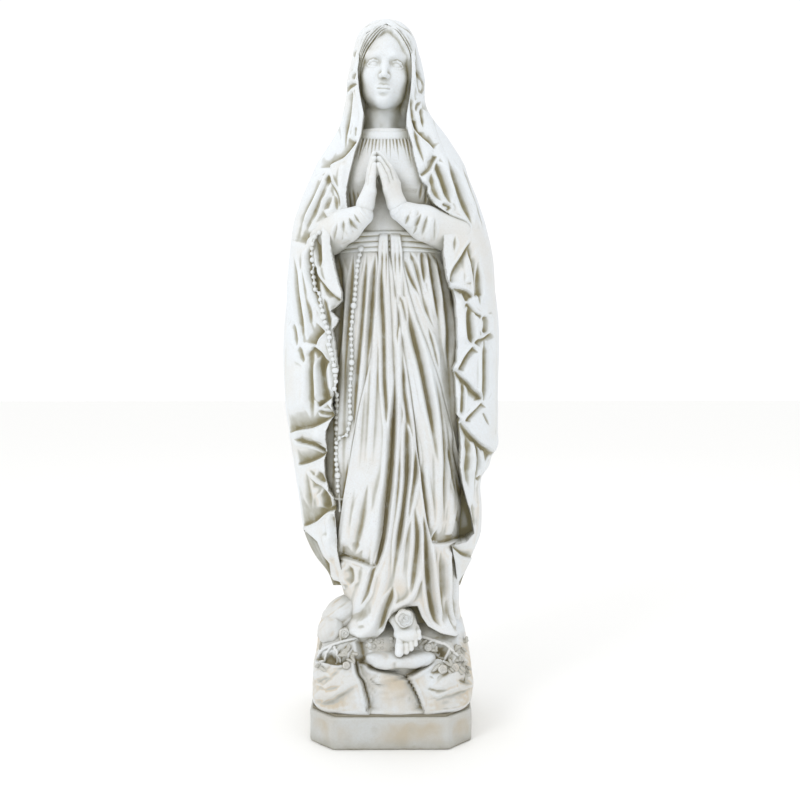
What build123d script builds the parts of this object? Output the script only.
"""Cast-stone madonna statue on a rocky base and a chamfered plinth, in millimetres.

The figure faces -Y, +Z is up and the origin is the middle of the plinth's underside.
Right and left are the figure's own: its right hand is on the -X side.
The castings are bedded on each other and pinned by a steel armature and dowels.
"""
import os
from math import cos, pi, sin, sqrt

from build123d import *

# ---------------------------------------------------------------- driving dimensions
HEIGHT = 1200.0               # underside of the plinth to the top of the veil
PLINTH_WIDTH = 270.0
PLINTH_HEIGHT = 54.0
PLINTH_CHAMFER = 40.0         # plan chamfer of the four corners
BED_THICKNESS = 4.0           # mortar between plinth and rock base
BED_INSET = 5.0               # the mortar is raked back, which leaves a dark groove
ROCK_FOOT = PLINTH_HEIGHT + BED_THICKNESS
ROCK_TOP = 176.0              # level on which the draped figure is bedded
WAIST = 815.0                 # skirt meets bodice
NECKLINE = 1000.0             # top of the bodice
HOOD_FOOT = 1036.0            # veil meets mantle
MANTLE_HEM = 268.0            # lowest edge of the mantle

SASH_THICKNESS = 7.0
SASH_LOW, SASH_HIGH = WAIST - 12.0, WAIST + 26.0
COLLAR_HEIGHT = 16.0

BAR_RADIUS = 4.0              # armature bars
BAR_LOW, BAR_HIGH = 14.0, 940.0
BAR_X, BAR_Y = 42.0, 30.0     # bar centres
TIE_RADIUS = 3.0              # wire of the ties round the bars
TIE_PITCH = 120.0
TIE_COUNT = 5
DOWEL_RADIUS = 5.0
DOWEL_LOW, DOWEL_HIGH = 955.0, 1100.0
HAND_DOWEL_RADIUS = 3.0

BEAD_RADIUS = 3.6
PATERNOSTER_RADIUS = 5.2      # the larger bead between two decades
DECADE = 10
BEAD_GAP = 0.6
BEAD_CLEARANCE = 1.0          # the beads stand just off the drapery they hang against

# ---------------------------------------------------------------- sections of the lofts
# Each row is z, centre x, half width, front depth, back depth; the centre is at y = 0.
GOWN = [
    (ROCK_TOP, 12, 104, 104, 62),
    (240, 12, 98, 100, 62),
    (340, 8, 100, 96, 64),
    (500, 2, 112, 92, 66),
    (660, 0, 104, 86, 62),
    (760, 0, 90, 78, 56),
    (WAIST, 0, 84, 71, 53),
    (870, -2, 90, 72, 54),
    (930, -4, 86, 71, 54),
    (975, -6, 68, 58, 48),
    (NECKLINE, -8, 50, 46, 42),
]
MANTLE = [
    (MANTLE_HEM, 2, 112, 70, 84),
    (340, -2, 140, 88, 98),
    (430, -2, 156, 96, 108),
    (520, 0, 170, 102, 114),
    (660, 0, 177, 104, 118),
    (800, 0, 172, 104, 116),
    (880, -2, 154, 98, 110),
    (940, -4, 130, 86, 102),
    (990, -7, 100, 72, 92),
    (HOOD_FOOT, -9, 74, 58, 82),
]
VEIL = [
    (HOOD_FOOT, -9, 74, 58, 82),
    (1080, -8, 66, 60, 80),
    (1120, -7, 61, 60, 79),
    (1150, -7, 55, 56, 72),
    (1175, -6, 43, 46, 58),
    (1191, -6, 27, 32, 38),
    (HEIGHT, -6, 6, 10, 12),
]
HEAD = [
    (1050, -11, 17, 52, 20),
    (1066, -11, 30, 58, 40),
    (1095, -10, 38, 58, 52),
    (1130, -9, 41, 54, 58),
    (1160, -8, 36, 44, 52),
    (1178, -7, 22, 28, 34),
]
NECK_RADIUS = 26.0
NECK_LOW, NECK_HIGH = 970.0, 1075.0
NECK_X, NECK_Y = -10.0, -6.0
# Each row is z, half width, half depth of the rocky ground.
ROCK = [
    (ROCK_FOOT, 134, 134),
    (100, 134, 128),
    (140, 126, 120),
    (ROCK_TOP, 118, 110),
]
RING_POINTS = 16

# ---------------------------------------------------------------- outlines, x and z
MANTLE_OPENING = [
    (-88, MANTLE_HEM - 1), (-92, 400), (-86, 620), (-92, 800), (-72, 930), (-46, HOOD_FOOT + 1),
    (26, HOOD_FOOT + 1), (46, 940), (86, 800), (108, 620), (100, MANTLE_HEM - 1),
]
VEIL_OPENING = [
    (-50, HOOD_FOOT - 1), (-49, 1130), (-40, 1160), (-6, 1180), (24, 1160), (30, 1130), (32, HOOD_FOOT - 1),
]
STEPPING_STONE = [(-40, 148), (-30, 128), (2, 118), (40, 120), (68, 132), (70, 148), (52, 156), (-20, 156)]
SASH_TAILS = {
    -1: [(-20, SASH_LOW), (8, SASH_LOW), (8, 600), (-8, 400), (-30, 290), (-85, 312), (-66, 430), (-34, 620)],
    1: [(14, SASH_LOW), (26, SASH_LOW), (60, 680), (98, 520), (136, 352), (70, 334), (40, 500), (20, 640)],
}
ROSARY_STRANDS = [
    [(-129, 806), (-122, 755), (-108, 708), (-99, 655), (-92, 600), (-90, 540), (-90, 508)],
    [(-52, 796), (-57, 750), (-61, 700), (-63, 640), (-64, 580), (-67, 528), (-77, 508)],
    [(-88, 498), (-87, 460), (-86, 416)],
]
CROSS_AT = (-84, 392)
CROSS_ARM_Z = 399
CROSS_BAR = 5.0
CROSS_HEIGHT, CROSS_WIDTH = 34.0, 20.0

# ---------------------------------------------------------------- limbs, by side of the figure
SIDES = {-1: "right", 1: "left"}
ELBOW = {-1: (-102, -58, 816), 1: (106, -56, 814)}
WRIST = {-1: (-57, -98, 862), 1: (44, -98, 862)}
FINGERS = {
    -1: [(-40, -106, 880), (-31, -111, 912), (-26, -116, 950)],
    1: [(18, -106, 882), (-4, -111, 918), (-17, -116, 958)],
}
HAND_SECTIONS = [(19, 17), (23, 12), (22, 9), (9, 5)]
ELBOW_SECTION, CUFF_SECTION = (30, 27), (24, 21)


# ---------------------------------------------------------------- form builders
def ring(z, x, half_width, front, back):
    """A closed oval section, as a face at height z."""
    points = []
    for i in range(RING_POINTS):
        turn = 2 * pi * i / RING_POINTS
        depth = back if sin(turn) > 0 else front
        points.append((x + half_width * cos(turn), depth * sin(turn), z))
    return make_face(Spline(*points, periodic=True))


def lofted(rows, grow=0.0):
    """A loft through the rows, each section larger all round by grow."""
    return loft([ring(z, x, w + grow, f + grow, b + grow) for z, x, w, f, b in rows])


def slab(low, high):
    """Everything between two levels."""
    wide = 4 * PLINTH_WIDTH
    return Pos(0, 0, (low + high) / 2) * Box(wide, wide, high - low)


def chamfered_plan(width, depth, chamfer):
    """A rectangle with its four corners cut off."""
    w, d = width / 2, depth / 2
    return Polygon(
        (-w, -d + chamfer), (-w + chamfer, -d), (w - chamfer, -d), (w, -d + chamfer),
        (w, d - chamfer), (w - chamfer, d), (-w + chamfer, d), (-w, d - chamfer),
        align=None,
    )


def front_prism(outline, near, far):
    """A prism on an (x, z) outline, from y = near to y = far."""
    face = make_face(Polyline(*[(x, near, z) for x, z in outline], close=True))
    return extrude(face, far - near, dir=(0, 1, 0))


def tube(points, radius, corner=0.0):
    """A round bar or stem along straight runs with rounded corners."""
    path = FilletPolyline(*points, radius=corner) if len(points) > 2 else Line(*points)
    start = Plane(origin=path @ 0, z_dir=path % 0)
    return sweep(start * Circle(radius), path=path)


def cut(shape, *tools):
    """shape less every tool, as a compound of the solids that are left."""
    for tool in tools:
        shape = shape - tool
    crumb = 20.0
    return Compound([solid for solid in shape.solids() if solid.volume > crumb])


# ---------------------------------------------------------------- steel inside the castings
def armature_bars():
    """Four upright bars from the plinth to the shoulders."""
    bar = Cylinder(BAR_RADIUS, BAR_HIGH - BAR_LOW)
    middle = (BAR_LOW + BAR_HIGH) / 2
    return Compound([Pos(x, y, middle) * bar for x in (-BAR_X, BAR_X) for y in (-BAR_Y, BAR_Y)])


def armature_ties():
    """Closed wire ties round the four bars, one every pitch."""
    reach = BAR_RADIUS + TIE_RADIUS
    loop = RectangleRounded(2 * (BAR_X + reach), 2 * (BAR_Y + reach), reach).wire()
    wire = sweep(Plane(origin=loop @ 0, z_dir=loop % 0) * Circle(TIE_RADIUS), path=loop)
    return Compound([Pos(0, 0, ROCK_TOP + TIE_PITCH * (i + 0.5)) * wire for i in range(TIE_COUNT)])


def neck_dowel():
    middle = (DOWEL_LOW + DOWEL_HIGH) / 2
    return Pos(NECK_X, 0, middle) * Cylinder(DOWEL_RADIUS, DOWEL_HIGH - DOWEL_LOW)


def hand_dowel(side):
    """A pin across the joint of sleeve and hand, along the forearm and into the palm."""
    elbow, wrist, palm = Vector(*ELBOW[side]), Vector(*WRIST[side]), Vector(*FINGERS[side][0])
    arm_share, palm_share = 0.35, 0.6
    inner = wrist + (elbow - wrist) * arm_share
    outer = wrist + (palm - wrist) * palm_share
    return tube([tuple(inner), tuple(wrist), tuple(outer)], HAND_DOWEL_RADIUS, BEAD_RADIUS)


# ---------------------------------------------------------------- base
def plinth():
    plan = chamfered_plan(PLINTH_WIDTH, PLINTH_WIDTH, PLINTH_CHAMFER)
    return extrude(plan, PLINTH_HEIGHT)


def plinth_bed():
    size = PLINTH_WIDTH - 2 * BED_INSET
    plan = chamfered_plan(size, size, PLINTH_CHAMFER)
    return extrude(Pos(0, 0, PLINTH_HEIGHT) * plan, BED_THICKNESS)


def rock_base():
    """The rocky ground: a tapering mass on the plinth's chamfered plan."""
    plans = []
    for z, half_width, half_depth in ROCK:
        chamfer = PLINTH_CHAMFER * half_width / ROCK[0][1]
        plans.append(Pos(0, 0, z) * chamfered_plan(2 * half_width, 2 * half_depth, chamfer))
    return loft(plans, ruled=True)


def stepping_stone():
    """The flat stone in front of the rocks, which carries the bare foot."""
    near, far = -134.0, -92.0
    return front_prism(STEPPING_STONE, near, far)


# ---------------------------------------------------------------- figure
def sleeve(side):
    """A forearm in its sleeve, from the elbow to the cuff."""
    elbow, cuff = ELBOW[side], WRIST[side]
    axis = Vector(*cuff) - Vector(*elbow)
    low = Plane(origin=elbow, z_dir=axis) * Ellipse(*ELBOW_SECTION)
    high = Plane(origin=cuff, z_dir=axis) * Ellipse(*CUFF_SECTION)
    return loft([low, high])


def hand(side):
    """A flat hand pressed palm to palm with the other, from the wrist to the fingertips."""
    stops = [WRIST[side]] + FINGERS[side]
    ways = [Vector(*b) - Vector(*a) for a, b in zip(stops, stops[1:])]
    ways.append(ways[-1])
    sections = [
        Plane(origin=at, x_dir=(0, 1, 0), z_dir=way) * Ellipse(*size)
        for at, way, size in zip(stops, ways, HAND_SECTIONS)
    ]
    return loft(sections)


def collar_band():
    """The gathered band round the neck, with the bodice and the neck not yet taken out."""
    z, x, width, front, back = GOWN[-1]
    spread = 9.0
    foot = (z - COLLAR_HEIGHT + 3, x, width + spread, front + spread, back + spread)
    top = (z + 3, x, width, front, back)
    return lofted([foot, top])


def head_and_neck():
    neck = Pos(NECK_X, NECK_Y, (NECK_LOW + NECK_HIGH) / 2) * Cylinder(NECK_RADIUS, NECK_HIGH - NECK_LOW)
    return lofted(HEAD) + neck


def veil():
    """The hood round the head, open over the face."""
    near, far = -120.0, -8.0
    return lofted(VEIL) - front_prism(VEIL_OPENING, near, far)


def mantle():
    """The cloak: everything outside the gown, open down the front."""
    near, far = -200.0, -10.0
    return lofted(MANTLE) - front_prism(MANTLE_OPENING, near, far)


def foot():
    """The bare left foot on the stepping stone."""
    slope = (0, -1, -0.8)
    instep = Plane(origin=(20, -96, 180), x_dir=(1, 0, 0), z_dir=slope)
    toes = Plane(origin=(25, -124, 164), x_dir=(1, 0, 0), z_dir=slope)
    return loft([instep * Ellipse(17, 15), toes * Ellipse(21, 8)])


def foot_rose():
    """The open rose on the instep."""
    place = Pos(20, -117, 206) * Rot(60, 0, 0)
    petals, heart = Torus(10, 4.5), Sphere(8)
    return place * (petals + heart)


def rose_spray(side):
    """Bramble stems over the rocks with open roses, as separate solids bedded on the rock."""
    stem_radius, rose_radius = 2.6, 7.0
    if side < 0:
        stems = [[(-112, -94, 154), (-98, -112, 163)], [(-92, -117, 165), (-62, -116, 171)]]
        roses = [(-82, -116, 184), (-72, -121, 150), (-92, -123, 136)]
    else:
        stems = [[(56, -115, 172), (84, -117, 164)], [(94, -110, 156), (114, -94, 142)]]
        roses = [(84, -124, 128), (112, -96, 128), (98, -116, 144), (70, -118, 156)]
    pieces = [tube(points, stem_radius) for points in stems]
    pieces += [Pos(*at) * Sphere(rose_radius) for at in roses]
    return Compound(pieces)


# ---------------------------------------------------------------- rosary
def surface_y(rows, x, z):
    """The front of a loft at x and z, by straight interpolation between its rows."""
    for low, high in zip(rows, rows[1:]):
        if low[0] <= z <= high[0]:
            share = (z - low[0]) / (high[0] - low[0])
            centre, width, front = (low[i] + share * (high[i] - low[i]) for i in (1, 2, 3))
            inside = 1 - ((x - centre) / width) ** 2
            return -front * sqrt(max(inside, 0))
    return 0.0


def resting_y(x, z, radius):
    """Where the centre of a ball stands that touches the drapery from the front."""
    steps = [radius * share for share in (-0.9, -0.45, 0, 0.45, 0.9)]
    nearest = 0.0
    for dx in steps:
        drapery = surface_y(GOWN, x + dx, z)
        if x + dx < MANTLE_OPENING[1][0] + radius:
            drapery = min(drapery, surface_y(MANTLE, x + dx, z))
        nearest = min(nearest, drapery - sqrt(radius ** 2 - dx ** 2))
    return nearest - BEAD_CLEARANCE


def strung(strand):
    """Beads along an (x, z) strand, ten small ones and then a large one."""
    line = Spline(*[(x, 0, z) for x, z in strand])
    beads, along = [], 0.0
    while True:
        large = len(beads) % (DECADE + 1) == DECADE
        radius = PATERNOSTER_RADIUS if large else BEAD_RADIUS
        along += radius
        if along + radius > line.length:
            return beads
        at = line.position_at(along, position_mode=PositionMode.LENGTH)
        beads.append(Pos(at.X, resting_y(at.X, at.Z, radius), at.Z) * Sphere(radius))
        along += radius + BEAD_GAP


def rosary_beads():
    return Compound([bead for strand in ROSARY_STRANDS for bead in strung(strand)])


def rosary_cross():
    x, z = CROSS_AT
    y = resting_y(x, z, CROSS_BAR / 2) - BEAD_CLEARANCE
    upright = Pos(x, y, z) * Box(CROSS_BAR, CROSS_BAR, CROSS_HEIGHT)
    arm = Pos(x, y, CROSS_ARM_Z) * Box(CROSS_WIDTH, CROSS_BAR, CROSS_BAR)
    return upright + arm


# ---------------------------------------------------------------- assembly
def base_nodes(bars):
    stone, rock = stepping_stone(), rock_base()
    return {
        "plinth": cut(plinth(), bars),
        "plinth_bed": cut(plinth_bed(), bars),
        "rock_base": cut(rock, stone, bars),
        "stepping_stone": cut(stone),
    }


def arm_nodes(pins, gown):
    nodes, taken = {}, gown
    for side, name in SIDES.items():
        arm = cut(sleeve(side), gown)
        nodes[f"sleeve_{name}"] = cut(arm, pins)
        nodes[f"hand_{name}"] = cut(hand(side), sleeve(side), taken, pins)
        taken = Compound(gown.solids() + nodes[f"hand_{name}"].solids())
    return nodes


def cloak_nodes(gown, trim):
    """The mantle in a back and two front falls, fitted round the gown, its trim and the arms."""
    cloak = cut(mantle(), gown, *trim)
    deep, tall = 2 * PLINTH_WIDTH, 2 * HEIGHT
    front = Pos(0, -deep / 2, 0) * Box(2 * deep, deep, tall)
    nodes = {"mantle_back": cut(cloak, front)}
    for side, name in SIDES.items():
        quarter = Pos(side * deep / 2, -deep / 2, 0) * Box(deep, deep, tall)
        nodes[f"mantle_fall_{name}"] = cut(Compound((cloak & quarter).solids()), sleeve(side))
    return nodes


def build():
    bars, ties, dowel = armature_bars(), armature_ties(), neck_dowel()
    pins = Compound([hand_dowel(side) for side in SIDES])
    gown = lofted(GOWN)
    head = head_and_neck()
    shell = lofted(GOWN, SASH_THICKNESS) - gown
    band = shell & slab(SASH_LOW, SASH_HIGH)
    collar = collar_band()

    nodes = base_nodes(bars)
    nodes["armature_bars"] = bars
    nodes["armature_ties"] = ties
    nodes["neck_dowel"] = dowel
    nodes["hand_dowels"] = pins
    nodes["skirt"] = cut(gown & slab(0, WAIST), bars, ties)
    nodes["bodice"] = cut(gown & slab(WAIST, HEIGHT), bars, ties, head, dowel)
    nodes["sash_band"] = cut(band)
    nodes["collar_band"] = cut(collar, gown, head)
    nodes["head"] = cut(head, dowel)
    nodes.update(arm_nodes(pins, Compound(gown.solids() + band.solids())))
    nodes.update(cloak_nodes(gown, [band, collar, head]))
    nodes["veil"] = cut(veil(), head, dowel)
    for side, name in SIDES.items():
        near, far = -160.0, -30.0
        tail = shell & front_prism(SASH_TAILS[side], near, far)
        nodes[f"sash_tail_{name}"] = cut(Compound(tail.solids()), nodes[f"mantle_fall_{name}"])
        nodes[f"rose_spray_{name}"] = cut(rose_spray(side), rock_base(), stepping_stone(), gown)
    nodes["foot"] = cut(foot(), stepping_stone(), rock_base(), gown)
    nodes["foot_rose"] = cut(foot_rose(), nodes["foot"], gown)
    nodes["rosary_beads"] = rosary_beads()
    nodes["rosary_cross"] = rosary_cross()
    return nodes


def main():
    os.makedirs("parts", exist_ok=True)
    for name, node in build().items():
        export_step(node, f"parts/{name}.step")
        print(name, len(node.solids()), round(node.volume))


main()
